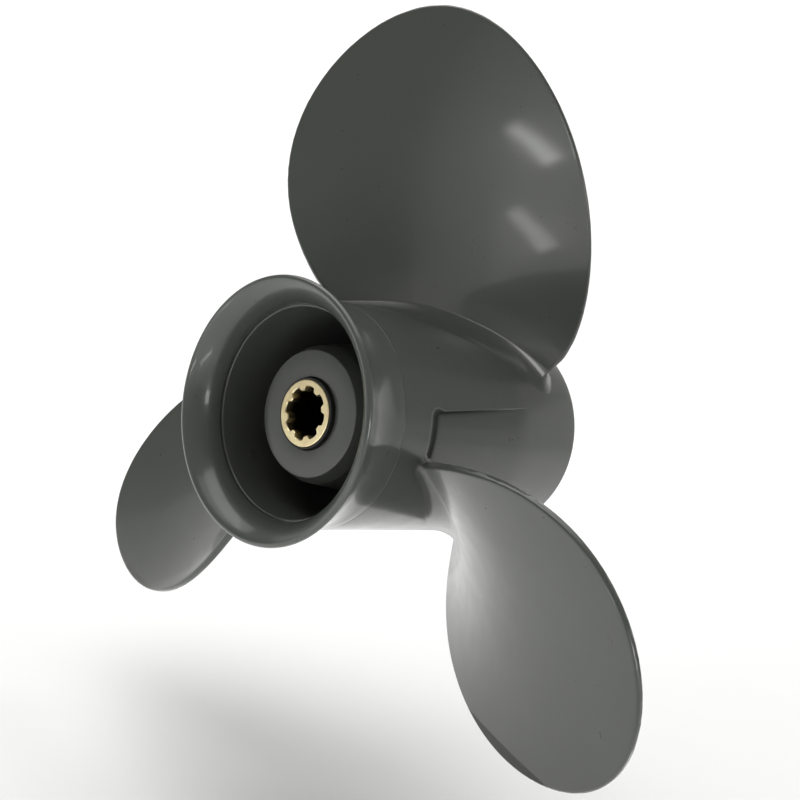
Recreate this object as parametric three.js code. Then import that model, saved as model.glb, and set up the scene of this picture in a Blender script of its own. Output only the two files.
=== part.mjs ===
// A three-blade outboard-motor propeller with a through-hub exhaust: a one-piece aluminium casting
// (barrel, blades, webs and inner hub), a pressed-on diffuser ring, and a rubber-bushed splined sleeve.
// Millimetres. The shaft axis is Y: -Y is aft and +Y is forward, towards the gearcase. +Z is up, through
// the tip of blade_1. The origin is on the axis, level with the middle of the blade roots.
import * as THREE from "three";

// Running gap kept between neighbouring solids.
const GAP = 0.3;
const ROUND_SEGMENTS = 60;

// Outer barrel: radius grows forward with the casting draft, up to the shoulder line.
const BARREL_AFT_Y = -39.3;
const BARREL_AFT_RADIUS = 31.6;
const BARREL_CREST_Y = 12;
const BARREL_CREST_RADIUS = 33.4;
const BARREL_FRONT_Y = 45.2;
const BARREL_FRONT_RADIUS = 33.3;
const FRONT_CHAMFER = 0.5;
const SPIGOT_END_Y = -48.3;
const SPIGOT_RADIUS = 30;
const BORE_AFT_RADIUS = 28.6;
const BORE_MIDDLE_RADIUS = 28.3;
const BORE_FRONT_RADIUS = 28.9;

// Diffuser ring: a trumpet mouth round the exhaust outlet.
const LIP_Y = -58;
const LIP_RADIUS = 35.7;
const LIP_ROUND = 1;
const MOUTH_STRAIGHT = 3; // the outside runs straight this far before it swells
const MOUTH_INNER_RADIUS = 29.2;

// Inner hub, which holds the bush behind a shoulder at its aft end.
const HUB_AFT_Y = -42.5;
const HUB_FACE_RADIUS = 17.7;
const HUB_EDGE_ROUND = 2;
const HUB_WAIST_Y = -20;
const HUB_RADIUS = 22;
const HUB_FRONT_Y = 38;
const HUB_SHOULDER_Y = -38;
const HUB_SHOULDER_RADIUS = 10.2;
const BUSH_POCKET_RADIUS = 15.7;

// Webs that carry the barrel on the inner hub, one under each blade.
const WEB_THICKNESS = 5;
const WEB_OUTER_RADIUS = 27.9;
const WEB_AFT_Y = -12;
const WEB_FRONT_Y = 36;

// Splined sleeve and the rubber bush moulded round it.
const SLEEVE_AFT_Y = -44.1;
const SLEEVE_FRONT_Y = 39.5;
const SLEEVE_RADIUS = 9.25;
const SPLINE_TEETH = 8;
const SPLINE_ROOT_RADIUS = 7.3;
const SPLINE_TIP_RADIUS = 6.2;
const BUSH_AFT_Y = -37.7;
const BUSH_FRONT_Y = 34;
const BUSH_COLLAR_Y = -43.8;
const BUSH_COLLAR_RADIUS = 9.9;

// Blades: cylindrical sections on a helix. At radius r, span u = (r - root) / (tip - root).
const BLADES = 3;
const BLADE_ROOT_RADIUS = 35.5;
const BLADE_TIP_RADIUS = 117.5;
const BLADE_SKEW_DEG = 12.1; // the root's middle is this far ahead of the tip, clockwise from aft
const BLADE_RAKE = [33, -10]; // how far aft the section's middle lies: 33 u - 10 u^2
const BLADE_ROOT_PITCH = 310;
const BLADE_TIP_PITCH = 235;
const BLADE_HALF_ARC = [21.7, 71, -67.3, 10.5]; // half the section's width along its arc, a cubic in u
const BLADE_ROUNDNESS = 4.6; // the cubic is rounded off to the tip by sqrt(1 - u^4.6)
const BLADE_ROOT_THICKNESS = 9;
const BLADE_TIP_THICKNESS = 2.8;
const BLADE_EDGE_THICKNESS = 2.2;
const BLADE_EDGE_ROUND = 0.8;
const ROOT_FILLET = 5;
const SPAN_STEPS = 18;
const CHORD_STEPS = 11;

const PAINTED_CASTING = { color: 0x4e534f, roughness: 0.35, metalness: 0.3 };
const PAINTED_RING = { color: 0x565c58, roughness: 0.3, metalness: 0.3 };
const BLACK_RUBBER = { color: 0x141414, roughness: 0.8, metalness: 0 };
const BRASS = { color: 0xcdb879, roughness: 0.35, metalness: 0.9 };

const propeller = new THREE.Group();

function addPart(name, geometry, finish) {
  const mesh = new THREE.Mesh(geometry, new THREE.MeshStandardMaterial(finish));
  mesh.name = name;
  propeller.add(mesh);
  return mesh;
}

// A closed ring of revolution about Y; the profile of [radius, y] pairs runs with the metal on its left.
function turned(profile) {
  const points = profile.map(([radius, y]) => new THREE.Vector2(radius, y));
  return new THREE.LatheGeometry([...points, points[0].clone()], ROUND_SEGMENTS);
}

// Points on an arc in the [radius, y] plane; angles in degrees from +radius towards +y.
function arc(centreRadius, centreY, size, fromDeg, toDeg, steps) {
  return Array.from({ length: steps + 1 }, (_, i) => {
    const angle = THREE.MathUtils.degToRad(fromDeg + ((toDeg - fromDeg) * i) / steps);
    return [centreRadius + size * Math.cos(angle), centreY + size * Math.sin(angle)];
  });
}

function barrelRadius(y) {
  return y < BARREL_CREST_Y
    ? THREE.MathUtils.mapLinear(
        y, BARREL_AFT_Y, BARREL_CREST_Y, BARREL_AFT_RADIUS, BARREL_CREST_RADIUS)
    : THREE.MathUtils.mapLinear(
        y, BARREL_CREST_Y, BARREL_FRONT_Y, BARREL_CREST_RADIUS, BARREL_FRONT_RADIUS);
}

function outerBarrel() {
  return turned([
    [BORE_AFT_RADIUS, SPIGOT_END_Y],
    [SPIGOT_RADIUS, SPIGOT_END_Y],
    [SPIGOT_RADIUS, BARREL_AFT_Y],
    [BARREL_AFT_RADIUS, BARREL_AFT_Y],
    [BARREL_CREST_RADIUS, BARREL_CREST_Y],
    [BARREL_FRONT_RADIUS, BARREL_FRONT_Y - FRONT_CHAMFER],
    [BARREL_FRONT_RADIUS - FRONT_CHAMFER, BARREL_FRONT_Y],
    [BORE_FRONT_RADIUS, BARREL_FRONT_Y],
    [BORE_MIDDLE_RADIUS, WEB_FRONT_Y],
    [BORE_MIDDLE_RADIUS, HUB_WAIST_Y],
  ]);
}

// The mouth swells along two arcs, one inside and one outside, that meet in a rounded lip.
function diffuserRing() {
  const frontY = BARREL_AFT_Y - GAP;
  const outerLength = frontY - LIP_Y - LIP_ROUND - MOUTH_STRAIGHT;
  const outerSwell = LIP_RADIUS - BARREL_AFT_RADIUS;
  const outerArc = (outerLength ** 2 + outerSwell ** 2) / (2 * outerSwell);
  const innerLength = SPIGOT_END_Y - GAP - LIP_Y - LIP_ROUND;
  const innerSwell = LIP_RADIUS - 2 * LIP_ROUND - MOUTH_INNER_RADIUS;
  const innerArc = (innerLength ** 2 + innerSwell ** 2) / (2 * innerSwell);
  const outerEnd = THREE.MathUtils.radToDeg(Math.asin(outerLength / outerArc));
  const innerEnd = THREE.MathUtils.radToDeg(Math.asin(innerLength / innerArc));
  const lipY = LIP_Y + LIP_ROUND;
  const socketRadius = SPIGOT_RADIUS + GAP;
  return turned([
    ...arc(MOUTH_INNER_RADIUS + innerArc, lipY + innerLength, innerArc, 180, 180 + innerEnd, 5)
      .reverse(),
    [socketRadius, SPIGOT_END_Y - GAP],
    [socketRadius, frontY],
    [BARREL_AFT_RADIUS, frontY],
    ...arc(BARREL_AFT_RADIUS + outerArc, lipY + outerLength, outerArc, 180, 180 + outerEnd, 5),
    ...arc(LIP_RADIUS - LIP_ROUND, lipY, LIP_ROUND, -30, -150, 3),
  ].reverse());
}

function innerHub() {
  return turned([
    [HUB_SHOULDER_RADIUS, HUB_AFT_Y],
    ...arc(HUB_FACE_RADIUS, HUB_AFT_Y + HUB_EDGE_ROUND, HUB_EDGE_ROUND, -90, 0, 3),
    [HUB_RADIUS, HUB_WAIST_Y],
    [HUB_RADIUS, HUB_FRONT_Y],
    [BUSH_POCKET_RADIUS, HUB_FRONT_Y],
    [BUSH_POCKET_RADIUS, HUB_SHOULDER_Y],
    [HUB_SHOULDER_RADIUS, HUB_SHOULDER_Y],
  ]);
}

function rubberBush() {
  const boreRadius = SLEEVE_RADIUS + GAP;
  const outerRadius = BUSH_POCKET_RADIUS - GAP;
  return turned([
    [boreRadius, BUSH_COLLAR_Y],
    [BUSH_COLLAR_RADIUS, BUSH_COLLAR_Y],
    [BUSH_COLLAR_RADIUS, BUSH_AFT_Y],
    [outerRadius, BUSH_AFT_Y],
    [outerRadius, BUSH_FRONT_Y],
    [boreRadius, BUSH_FRONT_Y],
  ]);
}

// A shape drawn across the shaft, x to starboard and y up, and extruded from frontY back to aftY.
function extrudedAlongShaft(shape, aftY, frontY) {
  const options = { depth: frontY - aftY, bevelEnabled: false };
  return new THREE.ExtrudeGeometry(shape, options).rotateX(Math.PI / 2).translate(0, frontY, 0);
}

function splineSleeve() {
  const shape = new THREE.Shape().setFromPoints(
    Array.from({ length: ROUND_SEGMENTS }, (_, i) =>
      new THREE.Vector2(SLEEVE_RADIUS, 0).rotateAround(
        new THREE.Vector2(), (2 * Math.PI * i) / ROUND_SEGMENTS)));
  const pitch = (2 * Math.PI) / SPLINE_TEETH;
  const corners = [
    [-0.24, SPLINE_ROOT_RADIUS], [0, SPLINE_ROOT_RADIUS + 0.1], [0.24, SPLINE_ROOT_RADIUS],
    [0.33, SPLINE_TIP_RADIUS + 0.35], [0.4, SPLINE_TIP_RADIUS], [0.6, SPLINE_TIP_RADIUS],
    [0.67, SPLINE_TIP_RADIUS + 0.35],
  ];
  const outline = [];
  for (let tooth = 0; tooth < SPLINE_TEETH; tooth++)
    for (const [turn, radius] of corners)
      outline.push(new THREE.Vector2(0, radius).rotateAround(
        new THREE.Vector2(), (tooth + turn) * pitch));
  shape.holes.push(new THREE.Path().setFromPoints(outline));
  return extrudedAlongShaft(shape, SLEEVE_AFT_Y, SLEEVE_FRONT_Y);
}

function web() {
  const half = WEB_THICKNESS / 2;
  const foot = HUB_RADIUS + GAP;
  const shape = new THREE.Shape([
    new THREE.Vector2(-half, foot),
    new THREE.Vector2(half, foot),
    new THREE.Vector2(half, WEB_OUTER_RADIUS),
    new THREE.Vector2(-half, WEB_OUTER_RADIUS),
  ]);
  return extrudedAlongShaft(shape, WEB_AFT_Y, WEB_FRONT_Y);
}

function bladeThickness(u) {
  return BLADE_TIP_THICKNESS + (BLADE_ROOT_THICKNESS - BLADE_TIP_THICKNESS) * (1 - u) ** 1.4;
}

// Half the section's width at span u, in millimetres of arc.
function bladeHalfArc(u) {
  const cubic = BLADE_HALF_ARC.reduce((sum, factor, power) => sum + factor * u ** power, 0);
  return cubic * Math.sqrt(Math.max(0, 1 - Math.max(0, u) ** BLADE_ROUNDNESS));
}

// How far out along the blade a radius is: 0 at the root and 1 at the tip.
function spanAt(radius) {
  return (radius - BLADE_ROOT_RADIUS) / (BLADE_TIP_RADIUS - BLADE_ROOT_RADIUS);
}

// A point of a blade: radius, distance along the helix from the section's middle towards the leading
// edge, measured on its arc, and depth towards the suction face from the helix through both edges.
function bladePoint(radius, along, depth) {
  const u = spanAt(radius);
  const pitch = THREE.MathUtils.lerp(BLADE_ROOT_PITCH, BLADE_TIP_PITCH, u);
  const helix = Math.atan2(pitch, 2 * Math.PI * radius);
  const skew = THREE.MathUtils.degToRad(BLADE_SKEW_DEG) * (1 - u) ** 2;
  const angle = skew + (along - depth * Math.sin(helix)) / radius;
  const rake = BLADE_RAKE[0] * u + BLADE_RAKE[1] * u * u;
  const y = along * Math.tan(helix) - rake + depth * Math.cos(helix);
  return { angle, y };
}

function onCylinder(radius, { angle, y }) {
  return new THREE.Vector3(radius * Math.sin(angle), y, radius * Math.cos(angle));
}

// One closed section: the pressure face from trailing to leading edge, the leading edge, the suction
// face back again, and the trailing edge. Its camber row runs midway between the two faces.
function bladeSection(radius, height) {
  const u = spanAt(radius);
  const reach = Math.max(0, ROOT_FILLET - height);
  const fillet = ROOT_FILLET - Math.sqrt(ROOT_FILLET ** 2 - reach ** 2);
  const half = bladeHalfArc(u) + fillet;
  const edge = Math.min(BLADE_EDGE_ROUND, half / 2);
  const [pressure, camber, suction] = [[], [], []];
  for (let i = 0; i <= CHORD_STEPS; i++) {
    const across = (2 * i) / CHORD_STEPS - 1;
    const swell = (bladeThickness(u) - BLADE_EDGE_THICKNESS) * (1 - across ** 2);
    const along = across * (half - edge);
    pressure.push([along, -BLADE_EDGE_THICKNESS / 2 - fillet]);
    camber.push([along, swell / 2]);
    suction.push([along, BLADE_EDGE_THICKNESS / 2 + swell + fillet]);
  }
  const place = ([along, depth]) => {
    const at = bladePoint(radius, along, depth);
    return onCylinder(height > 0 ? radius : barrelRadius(at.y) + GAP, at);
  };
  const outline = [...pressure, [half, 0], ...suction.reverse(), [-half, 0]];
  return { outline: outline.map(place), camber: camber.map(place) };
}

function blade() {
  const footRadius = BARREL_CREST_RADIUS + GAP;
  const heights = [0, 0.25, 0.5, 0.75, 1].map((part) => part * ROOT_FILLET);
  const span = BLADE_TIP_RADIUS - footRadius - ROOT_FILLET;
  for (let i = 1; i < SPAN_STEPS; i++)
    heights.push(ROOT_FILLET + span * Math.sin(((Math.PI / 2) * i) / SPAN_STEPS));
  const sections = heights.map((height) => bladeSection(footRadius + height, height));
  const ringSize = sections[0].outline.length;
  const lastRing = (sections.length - 1) * ringSize;
  const tipPoint = sections.length * ringSize;
  const tip = bladePoint(BLADE_TIP_RADIUS, 0, 0);
  const points = [
    ...sections.flatMap((section) => section.outline),
    onCylinder(BLADE_TIP_RADIUS, tip),
    ...sections[0].camber,
  ];
  const index = [];
  for (let start = 0; start < lastRing; start += ringSize)
    for (let i = 0; i < ringSize; i++) {
      const [a, b] = [start + i, start + ((i + 1) % ringSize)];
      index.push(a, b, a + ringSize, b, b + ringSize, a + ringSize);
    }
  for (let i = 0; i < ringSize; i++)
    index.push(lastRing + i, lastRing + ((i + 1) % ringSize), tipPoint);

  // The foot is closed in two strips along its camber row, cut on their short diagonals, so that it
  // follows the barrel.
  const camber = (i) => tipPoint + 1 + i;
  const suction = (i) => 2 * CHORD_STEPS + 2 - i;
  for (let i = 0; i < CHORD_STEPS; i++) {
    index.push(i, camber(i), camber(i + 1), i, camber(i + 1), i + 1);
    index.push(camber(i), suction(i), suction(i + 1), camber(i), suction(i + 1), camber(i + 1));
  }
  const leadingEdge = CHORD_STEPS + 1;
  const trailingEdge = ringSize - 1;
  index.push(CHORD_STEPS, camber(CHORD_STEPS), leadingEdge);
  index.push(camber(CHORD_STEPS), suction(CHORD_STEPS), leadingEdge);
  index.push(camber(0), 0, trailingEdge, suction(0), camber(0), trailingEdge);

  const geometry = new THREE.BufferGeometry();
  geometry.setFromPoints(points);
  geometry.setIndex(index);
  geometry.computeVertexNormals();
  return geometry;
}

addPart("outer_barrel", outerBarrel(), PAINTED_CASTING);
addPart("diffuser_ring", diffuserRing(), PAINTED_RING);
addPart("inner_hub", innerHub(), PAINTED_CASTING);
for (let i = 0; i < BLADES; i++) {
  const turn = (2 * Math.PI * i) / BLADES;
  addPart(`blade_${i + 1}`, blade(), PAINTED_CASTING).rotation.y = turn;
  const webTurn = turn + THREE.MathUtils.degToRad(BLADE_SKEW_DEG);
  addPart(`web_${i + 1}`, web(), PAINTED_CASTING).rotation.y = webTurn;
}
addPart("rubber_bush", rubberBush(), BLACK_RUBBER);
addPart("spline_sleeve", splineSleeve(), BRASS);

export default propeller;
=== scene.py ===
"""The looks of a three-blade outboard-motor propeller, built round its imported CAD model.

Metres. The shaft axis is Y: -Y is aft and +Y is forward. +Z runs up through the tip of blade_1.
The casting is one piece in enamel, shown here as barrel, blades, webs and inner hub that run into
each other through their fillets. A separate diffuser ring sits on its aft end, and a brass splined
sleeve in a rubber bush fills its middle.
"""

import math

import bmesh
import bpy
import numpy as np
from mathutils import Euler, Matrix, Vector


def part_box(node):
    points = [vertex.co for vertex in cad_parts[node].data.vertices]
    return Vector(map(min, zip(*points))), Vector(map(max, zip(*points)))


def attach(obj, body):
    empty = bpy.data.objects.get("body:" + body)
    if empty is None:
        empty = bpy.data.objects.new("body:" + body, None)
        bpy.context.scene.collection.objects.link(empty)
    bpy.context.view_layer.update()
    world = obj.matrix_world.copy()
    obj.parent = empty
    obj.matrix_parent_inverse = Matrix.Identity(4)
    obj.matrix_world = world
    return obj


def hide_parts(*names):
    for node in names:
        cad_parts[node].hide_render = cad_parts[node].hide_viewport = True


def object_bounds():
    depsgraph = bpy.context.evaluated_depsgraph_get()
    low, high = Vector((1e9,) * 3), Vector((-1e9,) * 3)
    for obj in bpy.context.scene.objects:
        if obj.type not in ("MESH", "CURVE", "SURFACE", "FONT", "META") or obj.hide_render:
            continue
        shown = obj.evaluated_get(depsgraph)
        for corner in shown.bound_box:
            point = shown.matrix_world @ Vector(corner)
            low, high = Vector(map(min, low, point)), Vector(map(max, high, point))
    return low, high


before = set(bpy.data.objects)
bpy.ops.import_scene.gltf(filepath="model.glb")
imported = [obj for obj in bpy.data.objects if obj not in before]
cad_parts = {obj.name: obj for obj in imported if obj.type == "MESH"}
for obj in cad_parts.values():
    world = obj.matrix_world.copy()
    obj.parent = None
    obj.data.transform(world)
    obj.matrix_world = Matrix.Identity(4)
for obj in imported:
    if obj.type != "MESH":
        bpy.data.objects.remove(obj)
cad_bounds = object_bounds()

CASTING, SLEEVE_BODY = "casting", "drive_sleeve"
PAINTED_SHADE_ATTRIBUTE = "painted_crease_shade"  # mesh attribute read by the barrel's paint: painted shade, 1 where the pocket's crease is painted darkest
BLADES = 3
TURN = 2 * math.pi / BLADES
GAP = 0.0003  # the running gap that the CAD keeps between neighbours
SEAM, SEAM_ROUND = 0.00004, 0.00012  # the painted-over joint between ring and casting
SINK = 0.00003  # how far a blade's foot lies under the barrel's surface, so that no light shows
TINY = 1e-12  # keeps a division away from zero

# Radii of small rounded edges.
SHARP_ROUND, CRISP_ROUND, SMALL_ROUND, EASY_ROUND, SOFT_ROUND = 0.0002, 0.0003, 0.0004, 0.0005, 0.0008

# Camera, at the photograph's viewpoint.
CAMERA_PLACE = Vector((0.18384, -0.23054, 0.03548))
CAMERA_TARGET = Vector((-0.0024, -0.0024, 0.0061))
CAMERA_ROLL_DEG = 13.25
CAMERA_LENS, CAMERA_SENSOR = 43.59, 36  # millimetres
CAMERA_CLIP = 0.01, 20

# Outer barrel. Its two ends are the CAD node's, and its other sizes repeat part.mjs.
(_, BARREL_SPIGOT_Y, _), (_, BARREL_FRONT_Y, _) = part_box("outer_barrel")
BARREL_AFT_Y, BARREL_AFT_RADIUS = -0.0393, 0.0316
BARREL_CREST_Y, BARREL_CREST_RADIUS = 0.012, 0.0334
BARREL_FRONT_RADIUS, BARREL_RIM_ROUND = 0.0333, 0.0007
BARREL_RIM_REACH = 0.001  # the rows along its outside stop this far from its front end
SPIGOT_RADIUS = 0.030
BORE_AFT_RADIUS, BORE_MIDDLE_RADIUS, BORE_FRONT_RADIUS = 0.0286, 0.0283, 0.0289
BORE_MIDDLE_AFT_Y, BORE_MIDDLE_FRONT_Y = -0.020, 0.036

# Moulding pocket on the barrel, ahead of each blade's trailing root. The CAD's barrel has none.
POCKET_AFT_Y, POCKET_FRONT_Y = -0.0245, 0.016
POCKET_DEPTH = 0.00175  # at its aft end, and none at its front end
POCKET_CREASE_DEG = 57.7  # the upper side at y = 0, from the middle of the blade root behind it
POCKET_CREASE_SLOPE = -149  # degrees per metre forward
POCKET_AFT_ROLL, POCKET_SIDE_ROLL = 0.0045, 0.0004  # how wide its aft and upper sides are
POCKET_ROLL_BEND = 1.25  # 1 is a flat slope, and more curves it down towards the floor
POCKET_CORNER = 0.0014  # radius of the corner between those sides
POCKET_FADE = 0.002  # over this distance the pocket ends, at the next blade's foot
PAINTED_SHADE_REACH = 0.0005  # how far the painted shade reaches over the pocket's floor

# Blades: part.mjs's section law in metres, with a rounder edge and a wider foot. The span share u is
# 0 at the root and 1 at the tip.
ROOT_RADIUS, TIP_RADIUS = 0.0355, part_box("blade_1")[1].z
SKEW = math.radians(12.1)
RAKE = (0.033, -0.010)  # how far aft the section's middle lies: factors of u and u squared
ROOT_PITCH, TIP_PITCH = 0.310, 0.235
HALF_ARC = (0.0217, 0.071, -0.0673, 0.0105)  # half the section's arc, a cubic in u
ROUNDNESS = 4.6  # more keeps the blade wide closer to its tip
ROOT_THICKNESS, TIP_THICKNESS, EDGE_THICKNESS = 0.009, 0.0028, 0.0022
THICKNESS_FALL = 1.4  # 1 thins the blade evenly from root to tip, and more thins it sooner
EDGE_WIDTH = 0.0010  # how far in from the outline the edge's rounding reaches
EDGE_LIMIT = 0.8  # the edge takes no more than this share of the half width
EDGE_SQUARENESS = 2.7  # 2 is a round edge, and more is squarer
# The blade's foot sweeps out of the barrel on a wide arc and meets the face in a tight one.
FOOT_TURN = math.radians(52)  # how far the wide arc turns
FOOT_RADIUS, FOOT_RADIUS_BACK = 0.0085, 0.0045  # of the wide arc, on the pressure and back faces
FOOT_TRAILING_SHARE = 0.4  # how much of the foot is left at the trailing end
FOOT_FULL_FROM = -0.1  # place across the section, -1 trailing to 1 leading, where it is whole
CREASE_RADIUS = 0.0008  # of the tight arc
FOLLOWS_BARREL = 0.022  # the blade's sections follow the barrel's shape up to this height
BLADE_CREASE_DEG = 60  # edges sharper than this are shaded as creases

# Diffuser ring.
(_, LIP_Y, _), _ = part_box("diffuser_ring")
LIP_RADIUS, LIP_ROUND = 0.0357, 0.001
MOUTH_RADIUS = 0.0292
MOUTH_STRAIGHT = 0.003  # the outside runs straight this far before it swells

# Inner hub. Its aft face and bevel lie inside the CAD's, and its aft opening is 0.2 mm narrower.
(_, HUB_AFT_Y, _), (_, HUB_FRONT_Y, _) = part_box("inner_hub")
HUB_FACE_RADIUS, HUB_BEVEL_RADIUS, HUB_BEVEL_LENGTH, HUB_BEVEL_ROUND = 0.0175, 0.0192, 0.0035, 0.002
HUB_RADIUS, HUB_FRONT_ROUND = 0.022, 0.001
HUB_WAIST_Y, HUB_WAIST_ROUND = -0.020, 0.012
HUB_SHOULDER_RADIUS, HUB_SHOULDER_Y = 0.0100, -0.038
BUSH_POCKET_RADIUS = 0.0157

# Webs between hub and barrel.
(_, WEB_AFT_Y, _), (_, WEB_FRONT_Y, _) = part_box("web_1")
WEB_THICKNESS = 0.005
WEB_FLARE, WEB_END_FLARE = 0.0018, 0.001  # how far a web spreads where it meets hub and barrel
WEB_FLAT = 0.0004  # half of what stays flat between the rounded edges of a web

# Bush and sleeve.
(_, SLEEVE_AFT_Y, _), (_, SLEEVE_FRONT_Y, _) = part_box("spline_sleeve")
(_, BUSH_COLLAR_Y, _), (_, BUSH_FRONT_Y, _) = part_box("rubber_bush")
SLEEVE_RADIUS = 0.00925
BUSH_AFT_Y, BUSH_COLLAR_RADIUS = -0.0377, 0.0098
BUSH_BORE_GAP = GAP / 3  # the bush grips the sleeve more closely than in the CAD
SPLINE_CHAMFER, SLEEVE_CHAMFER = 0.00025, 0.0003
CHAMFER_EASE = 0.3  # an extra row this share of the way round the outer chamfer softens it
FACE_INNER, FACE_OUTER = 1.4, 1.2  # rows that keep the aft face flat, in chamfer widths
SPLINE_TEETH = 8
SPLINE_ROOT_RADIUS, SPLINE_TIP_RADIUS = 0.0073, 0.0062
# Places within one tooth's share of the bore: 0 is the middle of a valley and 0.5 of a tooth.
VALLEY_END, TOOTH_START = 0.24, 0.39
VALLEY_BULGE = 0.0001  # how much deeper a valley is in its middle
TOOTH_CROWN, CROWN_REACH = 0.000036, 0.12  # how far a tooth's top stands up, and over how much

# Paint. The colours run from the darkest to the lightest cloud in it.
CAST_COLOURS, CAST_GLOSS = ((0.056, 0.060, 0.054), (0.068, 0.073, 0.066)), 0.10
RING_COLOURS, RING_GLOSS = ((0.058, 0.064, 0.058), (0.070, 0.077, 0.070)), 0.09
PAINT_COAT, PAINT_SPECULAR, PAINT_ROUGHNESS = 0.42, 0.35, (0.24, 0.38)
SHADE_COAT, SHADE_SPECULAR, SHADE_TONE = 0.04, 0.0, 0.45  # coat, specular and colour share where the painted shade is darkest

# Brass and rubber.
BRASS_COLOURS, BRASS_ROUGHNESS = ((0.68, 0.56, 0.32), (0.86, 0.76, 0.48)), (0.28, 0.46)
BORE_SHADE_TONE = (0.06, 0.05, 0.04)  # how much of the brass's colour is left deep in its bore, where it is darkened as painted shade
RUBBER_TONES, RUBBER_ROUGHNESS = (0.008, 0.018), (0.5, 0.75)

# Stage. The propeller is held by its bore, clear of the floor however it turns.
TIP_CLEARANCE = 0.002
FLOOR_RINGS = (0.3, 1.0)
STAGE_RADIUS, STAGE_HEIGHT, STAGE_BEND = 2.5, 1.55, 0.5
STAGE_KERB = 0.02  # the share of its height that the backdrop keeps all the way round
# The backdrop's middle, from +Y towards +X; it is full height up to the first angle either side
# of it and down to the kerb at the second.
BACKDROP_ANGLE, BACKDROP_HALF, BACKDROP_END = (math.radians(d) for d in (-39, 36, 105))

# Lights: name, power, place, target, width and height of the panel.
SOFT_LIGHTS = (
    ("softbox_over", 25, (-0.45, 0.05, 1.6), (-0.15, 0, 0), (2.4, 2.4)),
    ("softbox_aft", 11, (-0.35, -0.6, 1.5), (-0.10, -0.15, 0), (1.6, 1.6)),
    ("backdrop_wash", 32, (-0.6, 0.8, 1.7), (-1.7, 2.0, 0.2), (2.0, 0.8)),
    ("window", 7.5, (1.5, 0.0, 0.1), (0, 0, 0), (0.95, 0.32)),
)
# Panels that face straight up. They hang above the floor, 3 mm above the propeller's lowest point.
# The strips are placed so that highlights fall on the paint where the photograph has them, and the
# glow lights the undersides. Name, power, place across and along the shaft, size, slant in degrees.
LOW_LIGHT_Z = cad_bounds[0].z + 0.003
LOW_LIGHTS = (
    ("low_strip_far", 0.15, (0.064, -0.40), (0.014, 0.21), 5),
    ("low_strip_near", 0.035, (0.087, -0.18), (0.014, 0.11), 17),
    ("low_strip_port", 0.03, (-0.05, -0.22), (0.012, 0.12), -3),
    ("floor_glow", 0.30, (-0.12, -0.12), (0.5, 0.4), 0),
)
ROOM_COLOUR, ROOM_STRENGTH = (1.0, 0.98, 0.93, 1), 0.17


def smoothstep(value, low, high):
    """0 below low, 1 above high and a smooth rise between them."""
    t = np.clip((value - low) / (high - low), 0, 1)
    return t * t * (3 - 2 * t)


def cylinder_points(radius, angle, y):
    """Points from a radius, an angle from +Z towards +X, and a distance forward."""
    radius, angle, y = np.broadcast_arrays(radius, angle, y)
    return np.stack([radius * np.sin(angle), y, radius * np.cos(angle)], axis=-1)


# ---------------------------------------------------------------- meshes


def new_piece(name, points, faces, material, body, slot, replaced, crease_deg=38):
    """A smooth-shaded mesh piece that rides on a body and stands for CAD nodes."""
    mesh = bpy.data.meshes.new(name)
    mesh.from_pydata([tuple(p) for p in points], [], faces)
    shape = bmesh.new()
    shape.from_mesh(mesh)
    bmesh.ops.recalc_face_normals(shape, faces=shape.faces)
    shape.to_mesh(mesh)
    shape.free()
    mesh.shade_smooth()
    mesh.set_sharp_from_angle(angle=math.radians(crease_deg))
    mesh.materials.append(material)
    piece = bpy.data.objects.new(name, mesh)
    bpy.context.scene.collection.objects.link(piece)
    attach(piece, body)
    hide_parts(replaced)
    return piece


def strip_faces(first, second):
    """Quads between two closed loops of vertex numbers."""
    count = len(first)
    return [
        (first[i], first[(i + 1) % count], second[(i + 1) % count], second[i])
        for i in range(count)
    ]


def stacked_loops(rows, columns):
    """Loops of vertex numbers, and the faces that join each to the next."""
    loops = [list(range(r * columns, (r + 1) * columns)) for r in range(rows)]
    return loops, [f for a, b in zip(loops, loops[1:]) for f in strip_faces(a, b)]


def tube_faces(rows, columns):
    """Faces of a grid that closes on itself both ways, as a ring does."""
    loops, faces = stacked_loops(rows, columns)
    return faces + strip_faces(loops[-1], loops[0])


def round_corners(corners, steps=6):
    """A closed outline of [radius, y] from corners (radius, y, rounding)."""
    outline = []
    for i, (radius, y, rounding) in enumerate(corners):
        here = Vector((radius, y))
        if not rounding:
            outline.append(here)
            continue
        before = (Vector(corners[i - 1][:2]) - here).normalized()
        after = (Vector(corners[(i + 1) % len(corners)][:2]) - here).normalized()
        half = before.angle(after) / 2
        centre = here + (before + after).normalized() * rounding / math.sin(half)
        reach = rounding / math.tan(half)
        start, end = here + before * reach - centre, here + after * reach - centre
        swing = math.atan2(start.x * end.y - start.y * end.x, start.dot(end))
        for step in range(steps + 1):
            outline.append(centre + Matrix.Rotation(swing * step / steps, 2) @ start)
    return np.array([tuple(p) for p in outline])


def turned_piece(name, outline, *details, segments=192, **options):
    """A closed ring of revolution about the shaft; the outline has its metal on the left."""
    angles = np.arange(segments) * 2 * math.pi / segments
    points = cylinder_points(outline[:, :1], angles[None, :], outline[:, 1:])
    faces = tube_faces(len(outline), segments)
    return new_piece(name, points.reshape(-1, 3), faces, *details, **options)


# ---------------------------------------------------------------- barrel


def plain_barrel_radius(y):
    """The barrel's outer radius without its pockets."""
    return np.interp(
        y,
        [BARREL_AFT_Y, BARREL_CREST_Y, BARREL_FRONT_Y],
        [BARREL_AFT_RADIUS, BARREL_CREST_RADIUS, BARREL_FRONT_RADIUS],
    )


def crease_angle(y):
    """The pocket's upper side, as an angle from the blade root behind it."""
    along = np.clip(y, POCKET_AFT_Y, POCKET_FRONT_Y)
    return np.radians(POCKET_CREASE_DEG + POCKET_CREASE_SLOPE * along)


def blade_line_angle(y):
    """The middle of the blade root at y, as an angle from the middle of that root."""
    return y * 2 * math.pi / ROOT_PITCH


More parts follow.
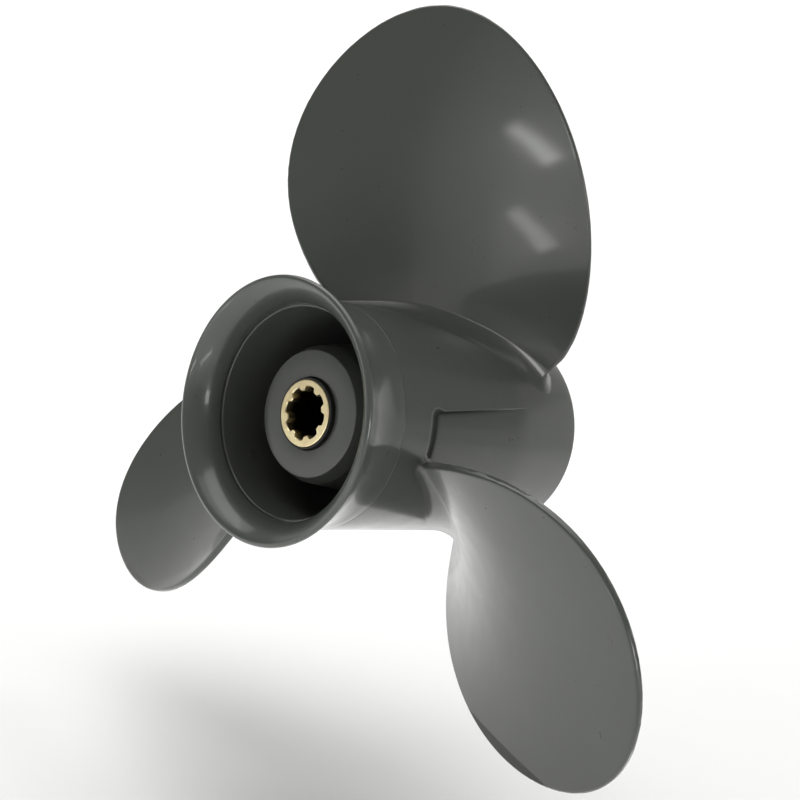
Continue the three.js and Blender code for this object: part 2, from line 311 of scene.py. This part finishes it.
def pocket(angle, y):
    """The pocket's depth at y, the share of it reached here, and the distance in from its sides."""
    radius = plain_barrel_radius(y)
    from_root = (angle - SKEW) % TURN
    p = POCKET_CORNER - (y - POCKET_AFT_Y)
    q = POCKET_CORNER - (from_root - crease_angle(y)) * radius
    out_p, out_q = np.maximum(p, 0), np.maximum(q, 0)
    inside = POCKET_CORNER - np.hypot(out_p, out_q) - np.minimum(np.maximum(p, q), 0)
    towards_aft = out_p**2 / (out_p**2 + out_q**2 + TINY)
    roll_width = POCKET_SIDE_ROLL + (POCKET_AFT_ROLL - POCKET_SIDE_ROLL) * towards_aft
    roll = np.clip(inside / roll_width + 1, 0, 1) ** POCKET_ROLL_BEND
    depth = POCKET_DEPTH * (POCKET_FRONT_Y - y) / (POCKET_FRONT_Y - POCKET_AFT_Y)
    under_blade = (TURN + blade_line_angle(y) - from_root) * radius
    depth = np.clip(depth, 0, POCKET_DEPTH) * smoothstep(under_blade, 0, POCKET_FADE)
    return depth, roll, inside


def barrel_surface(angle, y):
    """The barrel's outer radius, with the pocket before each blade's trailing root."""
    depth, roll, _ = pocket(angle, y)
    return plain_barrel_radius(y) - depth * roll


def pocket_painted_shade(angle, y):
    """How much painted shade darkens a place: most of it where the roll meets the floor."""
    depth, roll, inside = pocket(angle, y)
    on_floor = np.exp(-np.maximum(inside, 0) / PAINTED_SHADE_REACH)
    return depth / POCKET_DEPTH * np.sqrt(roll) * np.where(inside > 0, on_floor, 1)


def barrel_rows(aft_steps=8, roll_steps=18, front_steps=40, margin=1.05):
    """Places along the barrel, closer together over the pocket's aft roll and just ahead of it."""
    start = BARREL_AFT_Y + 2 * SEAM_ROUND
    roll_start = POCKET_AFT_Y - POCKET_AFT_ROLL * margin
    near_roll, past_roll = np.array([0, 0.0001, 0.0003, 0.0006, 0.001, 0.0016, 0.0025]), 0.004
    end = BARREL_FRONT_Y - BARREL_RIM_REACH
    return np.concatenate(
        [
            np.linspace(start, roll_start, aft_steps, endpoint=False),
            np.linspace(roll_start, POCKET_AFT_Y, roll_steps, endpoint=False),
            POCKET_AFT_Y + near_roll,
            np.linspace(POCKET_AFT_Y + past_roll, end, front_steps),
        ]
    )


def barrel_columns(steps=96):
    """Angles round the barrel from each pocket's crease, closer together beside it."""
    share = np.linspace(-1, 1, steps, endpoint=False)
    from_crease = np.sign(share) * share**2 * TURN / 2
    beside_crease = np.array([-0.0012, -0.0006, 0.0006, 0.0012])  # radians
    one = np.sort(np.concatenate([from_crease, beside_crease]))
    return np.concatenate([one + i * TURN for i in range(BLADES)])


def barrel_inside():
    """The barrel's outline from its front rim back through the bore and over the spigot."""
    return round_corners(
        [
            (BARREL_FRONT_RADIUS, BARREL_FRONT_Y, BARREL_RIM_ROUND),
            (BORE_FRONT_RADIUS, BARREL_FRONT_Y, SOFT_ROUND),
            (BORE_MIDDLE_RADIUS, BORE_MIDDLE_FRONT_Y, 0),
            (BORE_MIDDLE_RADIUS, BORE_MIDDLE_AFT_Y, 0),
            (BORE_AFT_RADIUS, BARREL_SPIGOT_Y, CRISP_ROUND),
            (SPIGOT_RADIUS, BARREL_SPIGOT_Y, SHARP_ROUND),
            (SPIGOT_RADIUS, BARREL_AFT_Y, 0),
            (BARREL_AFT_RADIUS, BARREL_AFT_Y, SEAM_ROUND),
        ]
    )


def make_barrel(paint):
    inside, outside = barrel_inside(), barrel_rows()
    columns = barrel_columns()[None, :]
    rings = np.concatenate([outside, inside[:, 1]])[:, None]
    angle = SKEW + columns + crease_angle(rings)
    radius = np.concatenate(
        [
            barrel_surface(angle[: len(outside)], outside[:, None]),
            np.repeat(inside[:, :1], columns.size, axis=1),
        ]
    )
    points = cylinder_points(radius, angle, rings).reshape(-1, 3)
    faces = tube_faces(len(rings), columns.size)
    barrel = new_piece(
        "barrel_casting", points, faces, paint, CASTING, "cast_paint", "outer_barrel"
    )
    # Painted shade: a dark, matt band painted along each pocket's crease, where the roll meets its
    # floor.
    painted_crease_shade = np.zeros(angle.shape)
    painted_crease_shade[: len(outside)] = pocket_painted_shade(angle[: len(outside)], outside[:, None])
    painted_shade = barrel.data.attributes.new(PAINTED_SHADE_ATTRIBUTE, "FLOAT", "POINT")
    painted_shade.data.foreach_set("value", painted_crease_shade.ravel())


# ---------------------------------------------------------------- blades


def span_share(radius):
    """How far out along the blade a radius is: 0 at the root and 1 at the tip."""
    return (radius - ROOT_RADIUS) / (TIP_RADIUS - ROOT_RADIUS)


def helix_angle(radius):
    """The angle between a section and the plane across the shaft."""
    pitch = ROOT_PITCH + (TIP_PITCH - ROOT_PITCH) * span_share(radius)
    return np.arctan2(pitch, 2 * math.pi * radius)


def half_width(radius):
    """Half the section's true width, along the helix."""
    u = span_share(radius)
    cubic = sum(factor * u**power for power, factor in enumerate(HALF_ARC))
    rounding = np.sqrt(np.clip(1 - np.clip(u, 0, 1) ** ROUNDNESS, 0, 1))
    return cubic * rounding / np.cos(helix_angle(radius))


def blade_surface_point(radius, width, depth):
    """Angle and y from a distance along the helix and a depth towards the suction face."""
    u = span_share(radius)
    helix = helix_angle(radius)
    angle = SKEW * (1 - u) ** 2 + (width * np.cos(helix) - depth * np.sin(helix)) / radius
    rake = RAKE[0] * u + RAKE[1] * u**2
    return angle, width * np.sin(helix) - rake + depth * np.cos(helix)


def edge_profile(share):
    """How much of the edge's half thickness is reached at a share of the edge's width."""
    return (1 - (1 - np.clip(share, 0, 1)) ** EDGE_SQUARENESS) ** (1 / EDGE_SQUARENESS)


def distance_to_outline(radius, width, steps=500):
    """Distance from a point of the developed blade to its outline."""
    turn = np.linspace(0, math.pi / 2, steps)
    outline_radius = ROOT_RADIUS + (TIP_RADIUS - ROOT_RADIUS) * np.sin(turn)
    outline_width = half_width(outline_radius)
    gap = np.hypot(
        radius[..., None] - outline_radius, np.abs(width)[..., None] - outline_width
    )
    return gap.min(axis=-1)


def blade_columns(face_steps=44, edge_steps=7, bunching=0.9):
    """One closed section: (place across the face -1..1, share round the edge 0..1, side).

    It runs along the pressure face to the leading edge, round it, back along the suction face and
    round the trailing edge. The share is 0 on the face and 1 at the outline. Bunching from 0 to 1
    moves the face's places towards its edges.
    """
    reach = math.pi / 2 * bunching
    across = np.sin(np.linspace(-1, 1, face_steps) * reach) / math.sin(reach)
    turn = np.linspace(0, math.pi / 2, edge_steps + 1)[1:]
    bend = np.sin(turn) ** (2 / EDGE_SQUARENESS)
    pressure = [(a, 0, -1) for a in across]
    leading = [(1, b, -1) for b in bend] + [(1, b, 1) for b in bend[-2::-1]]
    suction = [(a, 0, 1) for a in across[::-1]]
    trailing = [(-1, b, 1) for b in bend] + [(-1, b, -1) for b in bend[-2::-1]]
    return np.array(pressure + leading + suction + trailing).T


def blade_rows(wide_steps=9, tight_steps=7, span_steps=64):
    """Rows from foot to tip: (turn through the foot, height above it as a share of the span).

    Above the foot they are spaced as a sine, and then at so many edge widths from the tip.
    """
    wide = np.linspace(0, FOOT_TURN, wide_steps, endpoint=False)
    tight = np.linspace(FOOT_TURN, math.pi / 2, tight_steps)
    foot = [(t, 0) for t in [*wide, *tight]]
    shares = np.sin(np.linspace(0.05, 0.98, span_steps) * math.pi / 2)
    edge = EDGE_WIDTH / (TIP_RADIUS - ROOT_RADIUS)
    sine_ends = 2.5
    from_tip = np.array([1.8, 1.3, 1, 0.75, 0.52, 0.33, 0.18, 0.08, 0.03, 0.008, 0.001])
    shares = shares[shares < 1 - sine_ends * edge]
    return np.array(foot + [(math.pi / 2, s) for s in [*shares, *(1 - edge * from_tip)]]).T


def foot_shape(turn, across, share, side):
    """Height up the foot at each turn, the foot's whole height, and how far it stands out."""
    on_pressure_face = (1 - side * (1 - share)) / 2
    wide = FOOT_RADIUS_BACK + (FOOT_RADIUS - FOOT_RADIUS_BACK) * on_pressure_face
    size = FOOT_TRAILING_SHARE + (1 - FOOT_TRAILING_SHARE) * smoothstep(across, -1, FOOT_FULL_FROM)
    wide, tight = wide * size, CREASE_RADIUS * size
    low, high = np.minimum(turn, FOOT_TURN), np.maximum(turn, FOOT_TURN)
    height = wide * (1 - np.cos(low)) + tight * (math.cos(FOOT_TURN) - np.cos(high))
    whole = wide * (1 - math.cos(FOOT_TURN)) + tight * math.cos(FOOT_TURN)
    stands_out = wide * (math.sin(FOOT_TURN) - np.sin(low)) + tight * (1 - np.sin(high))
    return height, whole, stands_out


def edge_width(radius, half, step=1e-5):
    """The edge's width across a section: near the tip the outline turns, so it takes up more."""
    slope = (half - half_width(radius - step)) / step
    return np.minimum(EDGE_WIDTH * np.hypot(1, slope), EDGE_LIMIT * half)


def face_swell(radius, across):
    """How far the suction face bulges past the edge's thickness."""
    taper = np.clip(1 - span_share(radius), 0, 2) ** THICKNESS_FALL
    thickness = TIP_THICKNESS + (ROOT_THICKNESS - TIP_THICKNESS) * taper
    return (thickness - EDGE_THICKNESS) * (1 - across**2)


def blade_points():
    """The blade's points, one row of them to each closed section from foot to tip."""
    across, share, side = (c[None, :] for c in blade_columns())
    turn, height_share = (r[:, None] for r in blade_rows())
    base = BARREL_CREST_RADIUS
    height, foot_height, grow = foot_shape(turn, across, share, side)
    height = height + (TIP_RADIUS - base - foot_height) * height_share
    radius = base + height

    half = half_width(radius)
    edge = edge_width(radius, half)
    width = across * (half - edge) + np.sign(across) * share * (edge + grow)

    outline_gap = distance_to_outline(radius, np.clip(width, -half, half))
    rise = np.where(
        height_share > 0,
        edge_profile(outline_gap / EDGE_WIDTH),
        (1 - share**EDGE_SQUARENESS) ** (1 / EDGE_SQUARENESS),
    )
    swell = face_swell(radius, across) * (side > 0)
    depth = side * (EDGE_THICKNESS / 2 + grow) * rise + swell * rise

    angle, y = blade_surface_point(radius, width, depth)
    follow = 1 - smoothstep(height, 0, FOLLOWS_BARREL)
    radius = radius - (base - barrel_surface(angle, y)) * follow - SINK * (turn == 0)
    return cylinder_points(radius, angle, y)


def make_blade(number, paint):
    rings = blade_points()
    rows, columns, _ = rings.shape
    tip_angle, tip_y = blade_surface_point(TIP_RADIUS, 0, 0)
    tip = cylinder_points(TIP_RADIUS, tip_angle, tip_y)
    points = np.concatenate([rings.reshape(-1, 3), tip[None, :]])
    loops, faces = stacked_loops(rows, columns)
    foot, last = loops[0], loops[-1]
    faces += [(last[i], last[(i + 1) % columns], len(points) - 1) for i in range(columns)]
    faces += [
        (foot[i + 1], foot[i], foot[-i - 1], foot[-i - 2]) for i in range(columns // 2 - 1)
    ]
    turned = points @ np.array(Matrix.Rotation(TURN * (number - 1), 3, "Y").transposed())
    return new_piece(
        f"blade_{number}_casting",
        turned,
        faces,
        paint,
        CASTING,
        "cast_paint",
        f"blade_{number}",
        crease_deg=BLADE_CREASE_DEG,
    )


# ---------------------------------------------------------------- ring, hub and webs


def swell_arc(start_radius, start_y, lip_radius, lip_y, side, steps=28, rounds=12):
    """An arc that leaves the shaft's direction and swells aft until it touches the lip's round.

    The side is 1 for the outside of the mouth and -1 for its inside. Gives the arc's points and
    the angle on the lip's round where it ends.
    """
    turn = 0.5  # a first guess in radians, which the rounds below correct
    for _ in range(rounds):
        swell = lip_radius + side * LIP_ROUND * math.cos(turn) - start_radius
        length = start_y - lip_y - side * LIP_ROUND * math.sin(turn)
        size = (length**2 + swell**2) / (2 * swell)
        turn = math.asin(length / size)
    turns = np.linspace(0, turn, steps + 1)
    arc = [
        (start_radius + size * (1 - math.cos(t)), start_y - size * math.sin(t), 0) for t in turns
    ]
    return arc, turn


def make_diffuser_ring(paint, lip_steps=14):
    socket = SPIGOT_RADIUS + GAP
    inner_start, front = BARREL_SPIGOT_Y - GAP, BARREL_AFT_Y - SEAM
    lip_radius, lip_y = LIP_RADIUS - LIP_ROUND, LIP_Y + LIP_ROUND
    outer, outer_turn = swell_arc(BARREL_AFT_RADIUS, front - MOUTH_STRAIGHT, lip_radius, lip_y, 1)
    inner, inner_turn = swell_arc(MOUTH_RADIUS, inner_start, lip_radius, lip_y, -1)
    lip = [
        (lip_radius + LIP_ROUND * math.cos(t), lip_y + LIP_ROUND * math.sin(t), 0)
        for t in np.linspace(outer_turn, inner_turn - math.pi, lip_steps)[1:-1]
    ]
    corners = [
        (socket, inner_start, 0),
        (socket, front, 0),
        (BARREL_AFT_RADIUS, front, SEAM_ROUND),
        *outer,
        *lip,
        *reversed(inner[1:]),
        (MOUTH_RADIUS, inner_start, SHARP_ROUND),
    ]
    outline = round_corners(corners)[::-1]
    return turned_piece(
        "diffuser_ring_shell", outline, paint, CASTING, "ring_paint", "diffuser_ring"
    )


def make_hub(paint):
    corners = [
        (HUB_SHOULDER_RADIUS, HUB_AFT_Y, CRISP_ROUND),
        (HUB_FACE_RADIUS, HUB_AFT_Y, SMALL_ROUND),
        (HUB_BEVEL_RADIUS, HUB_AFT_Y + HUB_BEVEL_LENGTH, HUB_BEVEL_ROUND),
        (HUB_RADIUS, HUB_WAIST_Y, HUB_WAIST_ROUND),
        (HUB_RADIUS, HUB_FRONT_Y, HUB_FRONT_ROUND),
        (BUSH_POCKET_RADIUS, HUB_FRONT_Y, EASY_ROUND),
        (BUSH_POCKET_RADIUS, HUB_SHOULDER_Y, SMALL_ROUND),
        (HUB_SHOULDER_RADIUS, HUB_SHOULDER_Y, CRISP_ROUND),
    ]
    return turned_piece(
        "inner_hub_casting", round_corners(corners), paint, CASTING, "cast_paint", "inner_hub"
    )


def web_section(radius, grow):
    """The web's outline at a radius, spread by grow and bent to lie on that radius."""
    half, end = WEB_THICKNESS / 2 + grow, min(grow, WEB_END_FLARE)
    aft, front, bend = WEB_AFT_Y - end, WEB_FRONT_Y + end, half - WEB_FLAT
    corners = [(half, aft), (half, front), (-half, front), (-half, aft)]
    outline = round_corners([(*corner, bend) for corner in corners])
    return [(x, y, math.sqrt(radius**2 - x**2)) for x, y in outline]


def make_web(number, paint, flare_steps=7):
    """A web between hub and barrel, flared where it runs into each of them."""
    inner, outer = HUB_RADIUS - GAP, BORE_MIDDLE_RADIUS + GAP
    turn = np.linspace(0, math.pi / 2, flare_steps)
    grows = WEB_FLARE * (1 - np.sin(turn))
    heights = WEB_FLARE * (1 - np.cos(turn))
    sections = [web_section(inner + h, g) for h, g in zip(heights, grows)]
    sections += [web_section(outer - h, g) for h, g in zip(heights[::-1], grows[::-1])]
    points = np.array(sections).reshape(-1, 3)
    loops, faces = stacked_loops(len(sections), len(sections[0]))
    faces += [tuple(reversed(loops[0])), tuple(loops[-1])]
    place = Matrix.Rotation(SKEW + TURN * (number - 1), 3, "Y").transposed()
    return new_piece(
        f"web_{number}_casting",
        points @ np.array(place),
        faces,
        paint,
        CASTING,
        "cast_paint",
        f"web_{number}",
    )


# ---------------------------------------------------------------- bush and sleeve


def make_bush(rubber):
    bore, outer = SLEEVE_RADIUS + BUSH_BORE_GAP, BUSH_POCKET_RADIUS - GAP
    corners = [
        (bore, BUSH_COLLAR_Y, 0),
        (BUSH_COLLAR_RADIUS, BUSH_COLLAR_Y, SHARP_ROUND),
        (BUSH_COLLAR_RADIUS, BUSH_AFT_Y, 0),
        (outer, BUSH_AFT_Y, EASY_ROUND),
        (outer, BUSH_FRONT_Y, SOFT_ROUND),
        (bore, BUSH_FRONT_Y, 0),
    ]
    return turned_piece(
        "bush_rubber_moulding",
        round_corners(corners),
        rubber,
        SLEEVE_BODY,
        "bush_rubber",
        "rubber_bush",
    )


def spline_radius(angle):
    """The bore's radius: rounded teeth between wider valleys, with a valley at the top."""
    place = np.abs((angle * SPLINE_TEETH / (2 * math.pi) + 0.5) % 1 - 0.5)
    rise = smoothstep(place, VALLEY_END, TOOTH_START)
    bulge = VALLEY_BULGE * np.cos(np.clip(place / VALLEY_END, 0, 1) * math.pi / 2)
    crown = TOOTH_CROWN * np.clip(1 - (0.5 - place) / CROWN_REACH, 0, 1)
    return SPLINE_ROOT_RADIUS + bulge + (SPLINE_TIP_RADIUS - SPLINE_ROOT_RADIUS) * rise - crown


def make_sleeve(brass, steps_per_tooth=40):
    """The sleeve, with close rows beside its chamfers that keep the aft face flat."""
    count = SPLINE_TEETH * steps_per_tooth
    angle = (np.arange(count) * 2 * math.pi / count)[None, :]
    bore = spline_radius(angle)
    plain = np.full_like(bore, SLEEVE_RADIUS)
    ease = SLEEVE_CHAMFER * CHAMFER_EASE
    rows = [
        (bore + SPLINE_CHAMFER, SLEEVE_AFT_Y),
        (bore + SPLINE_CHAMFER * FACE_INNER, SLEEVE_AFT_Y),
        (plain - SLEEVE_CHAMFER * FACE_OUTER, SLEEVE_AFT_Y),
        (plain - SLEEVE_CHAMFER, SLEEVE_AFT_Y),
        (plain - ease, SLEEVE_AFT_Y + ease),
        (plain, SLEEVE_AFT_Y + SLEEVE_CHAMFER),
        (plain, SLEEVE_FRONT_Y - SLEEVE_CHAMFER),
        (plain - SLEEVE_CHAMFER, SLEEVE_FRONT_Y),
        (bore + SPLINE_CHAMFER, SLEEVE_FRONT_Y),
        (bore, SLEEVE_FRONT_Y - SPLINE_CHAMFER),
        (bore, SLEEVE_AFT_Y + SPLINE_CHAMFER),
    ]
    points = np.concatenate([cylinder_points(r, angle, y).reshape(-1, 3) for r, y in rows])
    faces = tube_faces(len(rows), count)
    return new_piece(
        "sleeve_brass_turning", points, faces, brass, SLEEVE_BODY, "sleeve_brass", "spline_sleeve"
    )


# ---------------------------------------------------------------- materials


class Finish:
    """A principled material and short calls for its procedural nodes."""

    def __init__(self, name, **settings):
        self.material = bpy.data.materials.new(name)
        self.material.use_nodes = True
        self.nodes = self.material.node_tree.nodes
        self.links = self.material.node_tree.links
        self.shader = self.nodes["Principled BSDF"]
        for key, value in settings.items():
            self.shader.inputs[key.replace("_", " ")].default_value = value
        self.place = self.nodes.new("ShaderNodeTexCoord").outputs["Object"]

    def noise(self, scale, detail=3, roughness=0.5):
        node = self.nodes.new("ShaderNodeTexNoise")
        node.inputs["Scale"].default_value = scale
        node.inputs["Detail"].default_value = detail
        node.inputs["Roughness"].default_value = roughness
        self.links.new(self.place, node.inputs["Vector"])
        return node.outputs["Fac"]

    def dots(self, scale):
        """Distance to the nearest of many scattered points, in shares of their spacing."""
        node = self.nodes.new("ShaderNodeTexVoronoi")
        node.inputs["Scale"].default_value = scale
        self.links.new(self.place, node.inputs["Vector"])
        return node.outputs["Distance"]

    def attribute(self, name):
        node = self.nodes.new("ShaderNodeAttribute")
        node.attribute_name = name
        return node.outputs["Fac"]

    def along_shaft(self, aft, forward):
        """A share from 0 to 1 between two places along the shaft."""
        split = self.nodes.new("ShaderNodeSeparateXYZ")
        self.links.new(self.place, split.inputs["Vector"])
        node = self.nodes.new("ShaderNodeMapRange")
        node.inputs["From Min"].default_value = aft
        node.inputs["From Max"].default_value = forward
        self.links.new(split.outputs["Y"], node.inputs["Value"])
        return node.outputs["Result"]

    def ramp(self, value, stops):
        node = self.nodes.new("ShaderNodeValToRGB")
        ramp = node.color_ramp
        while len(ramp.elements) < len(stops):
            ramp.elements.new(0.5)
        for element, (place, colour) in zip(ramp.elements, stops):
            element.position = place
            grey = isinstance(colour, (int, float))
            element.color = (colour,) * 3 + (1,) if grey else (*colour, 1)
        self.links.new(value, node.inputs["Fac"])
        return node.outputs["Color"]

    def between(self, ends, value, places):
        """A blend from the first end to the second as a value goes from place to place."""
        return self.ramp(value, list(zip(places, ends)))

    def multiply(self, first, second):
        node = self.nodes.new("ShaderNodeMix")
        node.data_type, node.blend_type = "RGBA", "MULTIPLY"
        node.inputs["Factor"].default_value = 1
        self.links.new(first, node.inputs["A"])
        self.links.new(second, node.inputs["B"])
        return node.outputs["Result"]

    def bump(self, height, distance, strength=1, below=None):
        node = self.nodes.new("ShaderNodeBump")
        node.inputs["Distance"].default_value = distance
        node.inputs["Strength"].default_value = strength
        self.links.new(height, node.inputs["Height"])
        if below is not None:
            self.links.new(below, node.inputs["Normal"])
        return node.outputs["Normal"]

    def feed(self, **sources):
        for key, source in sources.items():
            self.links.new(source, self.shader.inputs[key.replace("_", " ")])
        return self.material


def enamel(name, colours, gloss, with_painted_shade=False):
    """Marine enamel sprayed on cast aluminium: even colour, slight orange peel, a few dark specks.

    With painted shade, the paint is also darkened and made matt where its mesh says so, in the
    attribute PAINTED_SHADE_ATTRIBUTE.
    """
    finish = Finish(
        name,
        IOR=1.5,
        Specular_IOR_Level=PAINT_SPECULAR,
        Coat_Weight=PAINT_COAT,
        Coat_Roughness=gloss,
        Coat_IOR=1.5,
    )
    tone = finish.between(colours, finish.noise(28, detail=4, roughness=0.55), (0.05, 0.95))
    rough = finish.between(PAINT_ROUGHNESS, finish.noise(140), (0.05, 0.95))
    specks = finish.between((0.5, 1.0), finish.dots(210), (0.035, 0.06))
    waves = finish.bump(finish.noise(45, detail=2, roughness=0.4), distance=0.0004, strength=0.5)
    peel = finish.bump(
        finish.noise(420, detail=2), distance=0.00002, strength=0.6, below=waves
    )
    colour = finish.multiply(tone, specks)
    if with_painted_shade:
        # Painted shade: darker colour and less coat and specular along the pocket's crease.
        painted_shade = finish.attribute(PAINTED_SHADE_ATTRIBUTE)
        colour = finish.multiply(colour, finish.between((1.0, SHADE_TONE), painted_shade, (0, 0.8)))
        coat = finish.between((PAINT_COAT, SHADE_COAT), painted_shade, (0, 0.5))
        shine = finish.between((PAINT_SPECULAR, SHADE_SPECULAR), painted_shade, (0, 0.4))
        finish.feed(Coat_Weight=coat, Specular_IOR_Level=shine)
    return finish.feed(Base_Color=colour, Roughness=rough, Normal=peel)


def brass_finish():
    """Free-machining brass with the turning marks of a faced and reamed end."""
    finish = Finish("sleeve_brass", Metallic=1.0)
    tone = finish.between(BRASS_COLOURS, finish.noise(260, detail=4, roughness=0.6), (0.2, 0.8))
    rough = finish.between(BRASS_ROUGHNESS, finish.noise(500, detail=4, roughness=0.6), (0.3, 0.7))
    along = finish.along_shaft(SLEEVE_AFT_Y, SLEEVE_FRONT_Y)
    # Painted shade: the brass darkens deep inside its bore and keeps its colour near both ends.
    bore_shade = finish.ramp(along, [(0.004, 1.0), (0.04, BORE_SHADE_TONE), (0.9, BORE_SHADE_TONE), (0.985, 0.9)])
    rings = finish.nodes.new("ShaderNodeTexWave")
    rings.wave_type, rings.rings_direction = "RINGS", "Y"
    rings.inputs["Scale"].default_value = 700
    rings.inputs["Distortion"].default_value = 1.5
    finish.links.new(finish.place, rings.inputs["Vector"])
    marks = finish.bump(rings.outputs["Fac"], distance=0.00001, strength=0.5)
    return finish.feed(Base_Color=finish.multiply(tone, bore_shade), Roughness=rough, Normal=marks)


def rubber_finish():
    """Black moulded rubber with a dull bloom."""
    finish = Finish("bush_rubber", IOR=1.5)
    tone = finish.between(RUBBER_TONES, finish.noise(300, detail=4), (0.3, 0.75))
    rough = finish.between(RUBBER_ROUGHNESS, finish.noise(700), (0.3, 0.7))
    grain = finish.bump(finish.noise(2200), distance=0.00002, strength=0.6)
    return finish.feed(Base_Color=tone, Roughness=rough, Normal=grain)


def stage_finish():
    """Matt white studio paper."""
    finish = Finish("studio_paper")
    tone = finish.between((0.80, 0.82), finish.noise(3), (0.3, 0.7))
    rough = finish.between((0.85, 0.95), finish.noise(40), (0.3, 0.7))
    return finish.feed(Base_Color=tone, Roughness=rough)


# ---------------------------------------------------------------- studio


def make_stage(floor_z, count=96, bend_steps=17):
    """A round white floor that curves up into a backdrop behind the propeller."""
    bend = [
        (STAGE_RADIUS - STAGE_BEND + STAGE_BEND * math.sin(t), STAGE_BEND * (1 - math.cos(t)))
        for t in np.linspace(0, math.pi / 2, bend_steps)
    ]
    profile = [*((r, 0) for r in FLOOR_RINGS), *bend, (STAGE_RADIUS, STAGE_HEIGHT)]
    angles = np.arange(count) * 2 * math.pi / count
    off_middle = np.abs((angles - BACKDROP_ANGLE + math.pi) % (2 * math.pi) - math.pi)
    rise = 1 - (1 - STAGE_KERB) * smoothstep(off_middle, BACKDROP_HALF, BACKDROP_END)
    points = [(0, 0, floor_z)]
    points += [
        (r * math.sin(a), r * math.cos(a), floor_z + z * share)
        for r, z in profile
        for a, share in zip(angles, rise)
    ]
    loops = [list(range(1 + r * count, 1 + (r + 1) * count)) for r in range(len(profile))]
    faces = [(0, loops[0][(i + 1) % count], loops[0][i]) for i in range(count)]
    faces += [f for a, b in zip(loops, loops[1:]) for f in strip_faces(a, b)]
    mesh = bpy.data.meshes.new("stage_floor")
    mesh.from_pydata(points, [], faces)
    mesh.shade_smooth()
    mesh.materials.append(stage_finish())
    floor = bpy.data.objects.new("stage_floor", mesh)
    bpy.context.scene.collection.objects.link(floor)


def aimed(place, target, roll=0):
    """The turn that points a camera or a light from a place at a target."""
    aim = (Vector(target) - Vector(place)).to_track_quat("-Z", "Y")
    return aim @ Matrix.Rotation(roll, 3, "Z").to_quaternion()


def set_down(name, data, place, turn):
    """Puts a camera or a light into the scene."""
    thing = bpy.data.objects.new(name, data)
    thing.location = place
    thing.rotation_mode = "QUATERNION"
    thing.rotation_quaternion = turn
    bpy.context.scene.collection.objects.link(thing)
    return thing


def add_panel(name, power, place, turn, size):
    """A flat rectangular light that the camera doesn't see."""
    light = bpy.data.lights.new(name, "AREA")
    light.energy = power
    light.shape, (light.size, light.size_y) = "RECTANGLE", size
    set_down(name, light, place, turn).visible_camera = False


def make_lights():
    """Softboxes, a wash on the backdrop, a window, the low panels and a dim room round them."""
    for name, power, place, target, size in SOFT_LIGHTS:
        add_panel(name, power, place, aimed(place, target), size)
    for name, power, (x, y), size, slant_deg in LOW_LIGHTS:
        face_up = Euler((math.pi, 0, math.radians(slant_deg))).to_quaternion()
        add_panel(name, power, (x, y, LOW_LIGHT_Z), face_up, size)
    world = bpy.data.worlds.new("dim_room")
    world.use_nodes = True
    background = world.node_tree.nodes["Background"]
    background.inputs["Color"].default_value = ROOM_COLOUR
    background.inputs["Strength"].default_value = ROOM_STRENGTH
    bpy.context.scene.world = world


def make_camera():
    data = bpy.data.cameras.new("photo_camera")
    data.lens, data.sensor_width = CAMERA_LENS, CAMERA_SENSOR
    data.clip_start, data.clip_end = CAMERA_CLIP
    turn = aimed(CAMERA_PLACE, CAMERA_TARGET, math.radians(CAMERA_ROLL_DEG))
    bpy.context.scene.camera = set_down("photo_camera", data, CAMERA_PLACE, turn)


def build():
    make_camera()
    paint = enamel("cast_paint", CAST_COLOURS, CAST_GLOSS)
    make_barrel(enamel("barrel_paint", CAST_COLOURS, CAST_GLOSS, with_painted_shade=True))
    make_diffuser_ring(enamel("ring_paint", RING_COLOURS, RING_GLOSS))
    make_hub(paint)
    for number in range(1, BLADES + 1):
        make_blade(number, paint)
        make_web(number, paint)
    make_bush(rubber_finish())
    make_sleeve(brass_finish())
    make_stage(-TIP_RADIUS - TIP_CLEARANCE)
    make_lights()
    bpy.context.scene.view_settings.view_transform = "Standard"


build()
